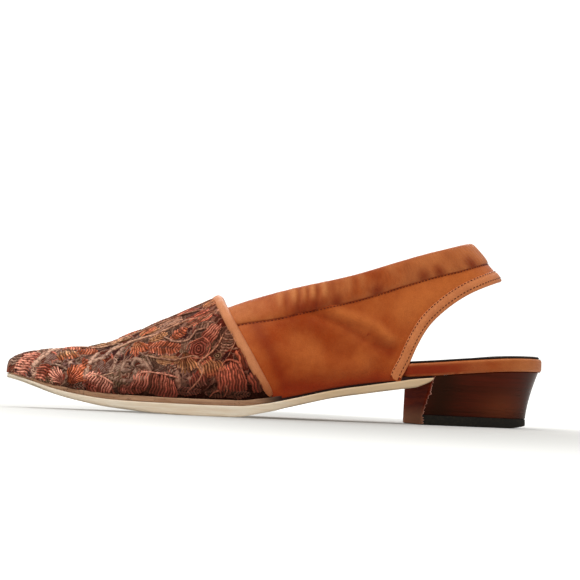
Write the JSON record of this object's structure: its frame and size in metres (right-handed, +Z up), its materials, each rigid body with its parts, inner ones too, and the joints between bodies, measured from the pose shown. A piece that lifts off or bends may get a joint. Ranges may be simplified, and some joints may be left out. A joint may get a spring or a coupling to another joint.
{
  "type": "slingback shoe",
  "caption": "Pointed slingback flat: embroidered brocade vamp with piped edge, leather quarters drawn into a strap round the heel, and a low stacked block heel.",
  "frame": {"origin": "on the floor, under the middle of the shoe's box", "axes": "+X from the toe towards the heel, +Y towards the inner side of the foot, +Z up"},
  "size_m": [0.2679, 0.0742, 0.0937],
  "materials": {
    "leather": "cognac, lightly creased, soft sheen",
    "brocade": "embroidered leaves on a plum-brown ground",
    "pale_leather": "pale tan, smooth",
    "band_leather": "tan, gathered, blotched with wear",
    "seat_leather": "wrapped edge, worn paler at the back",
    "sock_lining": "dark, matte",
    "sole_edge": "dirty tan edge",
    "sole_leather": "natural sole leather",
    "heel_wood": "mahogany stain, glossy",
    "rubber": "matte"
  },
  "bodies": {
    "root": {"upper": "leather", "vamp_cover": "brocade", "vamp_piping": "pale_leather", "top_band": "band_leather", "rear_facing": "leather", "insole": "seat_leather", "sock": "sock_lining", "midsole": "sole_edge", "outsole": "sole_leather", "heel": "heel_wood", "top_lift": "rubber"}
  },
  "joints": []
}
